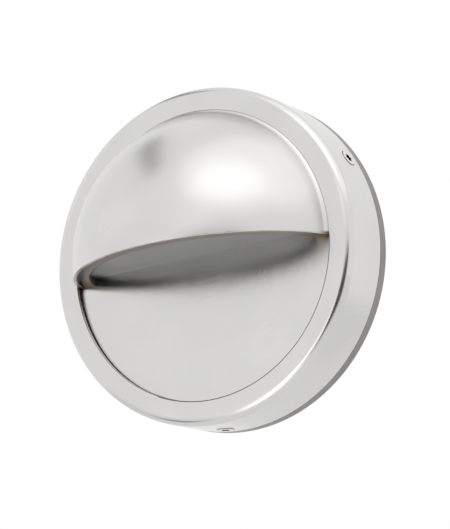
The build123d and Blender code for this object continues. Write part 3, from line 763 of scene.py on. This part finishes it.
class STEPLIGHT_OT_plate(Operator):
    """Makes the flat plate below the hood, with the opening behind the hood"""
    bl_idname = "steplight.plate"
    bl_label = "Plate"

    def execute(self, context):
        size = context.scene.steplight_hood
        look = context.scene.steplight_finish
        hole_radius, hole_depth, corners = 0.00135, 0.0012, 32
        hole_across, hole_up = 0.05614, 0.0221
        back = size.plate_front - size.sheet
        plate = round_bar("plate", size.plate_radius, (0, -back, 0), (0, -size.plate_front, 0))
        mouth = ((size.ball - size.sheet) ** 2 - (size.plate_front - size.centre) ** 2) ** 0.5
        tool = round_bar("tool", mouth, (0, -back + OVERSHOOT, 0),
                         (0, -size.plate_front - OVERSHOOT, 0))
        slice_off(tool, (0, 0, 0), (0, 0, 1))
        cut(plate, tool)
        # Blind holes in the plate's back, for the screws of the heat sink's bar.
        for across in (-hole_across, hole_across):
            tool = round_bar("tool", hole_radius, (across, -back + OVERSHOOT, hole_up),
                             (across, -back - hole_depth, hole_up), corners)
            cut(plate, tool)
        soften(plate)
        steel = turned_steel("Turned plate steel", look.steel, look.plate_polish, relief=0.000025,
                             tint=look.tint, reach=0.004)
        dress(plate, steel, "cover", "plate_steel", "eyelid_plate")
        return {"FINISHED"}


class STEPLIGHT_OT_rim(Operator):
    """Makes the flat rim inside the hood's lower edge"""
    bl_idname = "steplight.rim"
    bl_label = "Hood rim"

    def execute(self, context):
        size = context.scene.steplight_hood
        look = context.scene.steplight_finish
        edge_round = 0.0003
        inner = size.rim_radius - size.rim_width
        rim = round_bar("hood_rim", size.rim_radius, (0, -size.centre, -size.drop),
                        (0, -size.centre, -size.rim_top))
        tool = round_bar("tool", inner, (0, -size.centre, -size.drop - OVERSHOOT),
                         (0, -size.centre, OVERSHOOT))
        cut(rim, tool)
        slice_off(rim, (0, -size.plate_front, 0), (0, -1, 0))
        edit(rim)
        pick(rim, "edges", lambda edge: on_mouth(edge, size.drop)
             and all(abs(hypot(v.co.x, v.co.y + size.centre) - inner) < ON_CIRCLE
                     for v in edge.verts))
        round_off(edge_round, steps=3)
        done()
        soften(rim)
        steel = turned_steel("Heat-tinted rim steel", look.rim, look.hood_polish, relief=0.000008,
                             tint=lighter(look.tint, 0.7), reach=0.020,
                             Specular_Tint=(0.66, 0.60, 0.54, 1.0))
        dress(rim, steel, "cover", "bezel_steel", "hood_bezel")
        return {"FINISHED"}


class STEPLIGHT_OT_lens_seal(Operator):
    """Makes the seal under the lens, with a lip that covers the rim's inner wall"""
    bl_idname = "steplight.lens_seal"
    bl_label = "Lens seal"

    def execute(self, context):
        size = context.scene.steplight_hood
        look = context.scene.steplight_finish
        rim_room, lip_rise = 0.00002, 0.0003
        lip_outer = size.rim_radius - size.rim_width - rim_room
        lip_low = -size.drop + lip_rise
        seal = round_bar("lens_seal", size.seal_radius, (0, -size.centre, -size.rim_top),
                         (0, -size.centre, SEAL_HIGH.z))
        edit(seal)
        pick(seal, "faces", lambda face: face.normal.z < -FACING)
        bpy.ops.mesh.inset(thickness=size.seal_radius - lip_outer)
        extrude(0, 0, lip_low + size.rim_top)
        done()
        tool = round_bar("tool", lip_outer - size.seal_lip, (0, -size.centre, -2 * OVERSHOOT),
                         (0, -size.centre, OVERSHOOT))
        cut(seal, tool)
        slice_off(seal, (0, -size.plate_front, 0), (0, -1, 0))
        soften(seal)
        rubber = seal_rubber("Black lens seal", look.rubber)
        dress(seal, rubber, "cover", "rubber", "lens_gasket")
        return {"FINISHED"}


class STEPLIGHT_OT_side_screws(Operator):
    """Makes the three side screws with their six-lobed recess"""
    bl_idname = "steplight.side_screws"
    bl_label = "Side screws"

    def execute(self, context):
        size = context.scene.steplight_cover
        point, edge_round, corners = 0.0006, 0.00022, 96
        seat = size.head_top - size.head_height
        tip = seat - size.screw_length
        first = round_bar("side_screw", size.head_radius, (seat, -size.screw_depth, 0),
                          (size.head_top, -size.screw_depth, 0), corners)
        edit(first)
        pick(first, "faces", lambda face: face.normal.x < -FACING)
        for way, radius, old in ((0.0, size.shank, size.head_radius),
                                 (size.screw_length - point, size.shank, size.shank),
                                 (point, size.shank - point, size.shank)):
            extrude(-way, 0, 0)
            share = radius / old
            bpy.ops.transform.resize(value=(1, share, share),
                                     center_override=(tip, -size.screw_depth, 0))
        pick(first, "edges", lambda edge: all(abs(v.co.x - size.head_top) < ON_LEVEL
                                              for v in edge.verts))
        round_off(edge_round, steps=3)
        done()
        self.sink_star(first, size)
        soften(first)
        metal = screw_metal("Blasted screw steel", (0.74, 0.73, 0.71))
        for side, angle in SCREW_ANGLES.items():
            only(first)
            bpy.ops.object.duplicate()
            screw = bpy.context.view_layer.objects.active
            screw.name = "side_screw_" + side
            screw.rotation_euler = (0, -radians(angle), 0)
            bpy.ops.object.transform_apply(rotation=True)
            dress(screw, metal, "screw_" + side, "cover_screw_steel", "cover_screw_" + side)
        only(first)
        bpy.ops.object.delete()
        return {"FINISHED"}

    def sink_star(self, screw, size):
        """Cuts the recess: a round middle with six lobes on its edge."""
        middle, lobe, depth, tool_reach, corners = 0.0015, 0.0006, 0.0011, 0.001, 24
        turns = [radians(60 * n) for n in range(6)]
        places = [(0.0, 0.0, middle)]
        places += [(middle * cos(turn), middle * sin(turn), lobe) for turn in turns]
        for across, up, radius in places:
            y = -size.screw_depth + across
            tool = round_bar("tool", radius, (size.head_top - depth, y, up),
                             (size.head_top + tool_reach, y, up), corners)
            cut(screw, tool)


class STEPLIGHT_OT_inner_pieces(Operator):
    """Gives the pieces behind the cover and in the hood their finishes"""
    bl_idname = "steplight.inner_pieces"
    bl_label = "Inner pieces"

    def execute(self, context):
        look = context.scene.steplight_finish
        finishes = {
            "base_metal": cast_metal("Cast back plate", look.base),
            "plate_steel": drawn_metal("Shelf steel", look.steel),
            "spring_steel": drawn_metal("Spring ring steel", (0.32, 0.32, 0.33), polish=0.36),
            "screw_steel": plated_metal("Plated small screws", (0.55, 0.55, 0.56)),
            "frame_aluminium": drawn_metal("Lens frame aluminium", (0.62, 0.62, 0.63), polish=0.36),
            "heat_sink_aluminium": drawn_metal("Heat sink aluminium", (0.55, 0.55, 0.57),
                                               polish=0.4),
            "brass": plated_metal("Brass terminals", (0.72, 0.52, 0.22), polish=0.3),
            "rubber": seal_rubber("Black seals", look.rubber),
            "frosted_lens": frosted_panel("Frosted lens", look.lens),
            "reflector_white": moulded_plastic("White reflector", (0.86, 0.86, 0.84), polish=0.22),
            "terminal_plastic": moulded_plastic("Natural terminal nylon", (0.76, 0.75, 0.69)),
            "driver_plastic": moulded_plastic("White driver case", (0.82, 0.82, 0.80)),
            "connector_plastic": moulded_plastic("Black connector nylon", (0.03, 0.03, 0.032),
                                                 polish=0.5),
            "circuit_board": printed_board("Green driver board", mask=(0.02, 0.16, 0.06),
                                           track=(0.04, 0.24, 0.09)),
            "led_board_white": printed_board("White light board", mask=(0.82, 0.82, 0.82),
                                             track=(0.74, 0.74, 0.73)),
            "led_yellow": light_chip("Yellow light sources", dark=(0.80, 0.55, 0.08),
                                     light=(0.95, 0.72, 0.16)),
            "component_black": sleeved_part("Sleeved driver parts", dark=(0.012, 0.012, 0.014),
                                            light=(0.03, 0.03, 0.034)),
        }
        slots = {part["node"]: part["material_slot"] for part in frame["record"]["subparts"]}
        for node, piece in frame["nodes"].items():
            finish = finishes.get(slots[node])
            if finish:
                for holder in piece.material_slots:
                    holder.material = finish
        return {"FINISHED"}


def heading(azimuth, height):
    """Direction from the light, from the front (0) round to the right, and up."""
    flat = cos(radians(height))
    return Vector((sin(radians(azimuth)) * flat, -cos(radians(azimuth)) * flat,
                   sin(radians(height))))


def face_light(thing, azimuth, height, away):
    """Places a lamp or card in a direction, turned to the light."""
    out = heading(azimuth, height)
    thing.location = out * away
    thing.rotation_euler = out.to_track_quat("Z", "Y").to_euler()


def soft_lamp(name, azimuth, height, away, width, tall, strength, shape="ELLIPSE"):
    """Wide lamp that adds strength to the level of the surfaces that it faces."""
    bpy.ops.object.select_all(action="DESELECT")
    bpy.ops.object.light_add(type="AREA")
    lamp = bpy.context.view_layer.objects.active
    lamp.name = name
    lamp.data.shape = shape
    lamp.data.size = width
    lamp.data.size_y = tall
    lamp.data.energy = strength * pi * width * tall * (pi / 4 if shape == "ELLIPSE" else 1.0)
    face_light(lamp, azimuth, height, away)


def card(name, azimuth, height, away, width, tall, shade):
    """Dull card that only shows in reflections."""
    bpy.ops.object.select_all(action="DESELECT")
    bpy.ops.mesh.primitive_plane_add(size=1.0)
    board = bpy.context.view_layer.objects.active
    board.name = name
    board.scale = (width, tall, 1.0)
    face_light(board, azimuth, height, away)
    board.data.materials.append(Finish(name).surface((shade, shade, shade), 1.0))
    board.visible_camera = False
    board.visible_diffuse = False
    board.visible_shadow = False


class STEPLIGHT_OT_stage(Operator):
    """Makes the floor, the white room, the lamps and the camera"""
    bl_idname = "steplight.stage"
    bl_label = "Stage"

    def execute(self, context):
        stage = context.scene.steplight_stage
        bpy.ops.object.select_all(action="DESELECT")
        bpy.ops.mesh.primitive_plane_add(size=6.0, location=(0, 0, stage.floor_height))
        floor = named("floor")
        floor.data.materials.append(Finish("Pale floor").surface((0.92, 0.92, 0.92), 0.8))
        self.room(context.scene, stage.sky)

        # Directions in degrees, round to the right from the front and up, then metres and level.
        soft_lamp("key_lamp", 42, 48, away=1.0, width=0.86, tall=0.60, strength=stage.key)
        soft_lamp("halo_lamp", 66, 56, away=1.05, width=2.10, tall=1.25, strength=stage.halo)
        soft_lamp("left_lamp", -62, 27, away=1.0, width=0.66, tall=0.36, strength=0.08)
        soft_lamp("low_lamp", -10, -22, away=0.9, width=0.36, tall=0.80, strength=stage.low,
                  shape="RECTANGLE")
        soft_lamp("front_lamp", 10, 18, away=1.0, width=0.56, tall=0.18, strength=0.22)
        card("dark_card", 22, -8, away=0.9, width=0.84, tall=0.39, shade=0.02)
        card("left_card", -78, 61, away=0.9, width=0.66, tall=0.14, shade=0.34)
        card("low_card", -55, -37, away=0.9, width=0.30, tall=0.20, shade=0.25)

        bpy.ops.object.camera_add()
        eye = bpy.context.view_layer.objects.active
        spot = CAMERA_BACK * CAMERA_DISTANCE - CAMERA_RIGHT * CAMERA_LEFT + CAMERA_UP * CAMERA_RISE
        turn = Matrix((CAMERA_RIGHT, CAMERA_UP, CAMERA_BACK)).transposed().to_4x4()
        eye.matrix_world = Matrix.Translation(spot) @ turn
        eye.data.lens = CAMERA_LENS
        eye.data.sensor_width = CAMERA_SENSOR
        eye.data.clip_start = 0.01
        context.scene.camera = eye
        context.scene.view_settings.view_transform = "Standard"
        return {"FINISHED"}

    def room(self, scene, sky):
        """White room, which lights dull surfaces at the level of sky."""
        scene.world = bpy.data.worlds.new("White room")
        room = Nodes(scene.world)
        camera, glossy, through = room.node("ShaderNodeLightPath").outputs(
            "Is Camera Ray", "Is Glossy Ray", "Is Transmission Ray")
        seen = camera.most(glossy).most(through)
        strength = seen * (1.0 - sky) + sky
        inputs = {"Color": (1, 1, 1, 1), "Strength": strength}
        white = room.node("ShaderNodeBackground", inputs=inputs)
        room.node("ShaderNodeOutputWorld", inputs={"Surface": white})


class STEPLIGHT_PT_panel(Panel):
    """Sizes, finishes and buttons of the step light"""
    bl_idname = "STEPLIGHT_PT_panel"
    bl_label = "Step light"
    bl_space_type = "VIEW_3D"
    bl_region_type = "UI"
    bl_category = "Step light"

    def draw(self, context):
        for name, group in GROUPS.items():
            values = getattr(context.scene, name)
            box = self.layout.box()
            box.label(text=name.split("_")[1].title())
            for value in group.__annotations__:
                box.prop(values, value)
        for operator in OPERATORS:
            self.layout.operator(operator.bl_idname)


GROUPS = {"steplight_cover": SteplightCover, "steplight_hood": SteplightHood,
          "steplight_finish": SteplightFinish, "steplight_stage": SteplightStage}
OPERATORS = (STEPLIGHT_OT_cover, STEPLIGHT_OT_hood, STEPLIGHT_OT_plate, STEPLIGHT_OT_rim,
             STEPLIGHT_OT_lens_seal, STEPLIGHT_OT_side_screws, STEPLIGHT_OT_inner_pieces,
             STEPLIGHT_OT_stage)


def register():
    for name, group in GROUPS.items():
        bpy.utils.register_class(group)
        setattr(bpy.types.Scene, name, PointerProperty(type=group))
    for made in (*OPERATORS, STEPLIGHT_PT_panel):
        bpy.utils.register_class(made)


def unregister():
    for made in (STEPLIGHT_PT_panel, *reversed(OPERATORS)):
        bpy.utils.unregister_class(made)
    for name, group in reversed(GROUPS.items()):
        delattr(bpy.types.Scene, name)
        bpy.utils.unregister_class(group)


def main():
    register()
    bpy.ops.steplight.cover()
    bpy.ops.steplight.hood()
    bpy.ops.steplight.plate()
    bpy.ops.steplight.rim()
    bpy.ops.steplight.lens_seal()
    bpy.ops.steplight.side_screws()
    bpy.ops.steplight.inner_pieces()
    bpy.ops.steplight.stage()


if __name__ == "__main__":
    main()
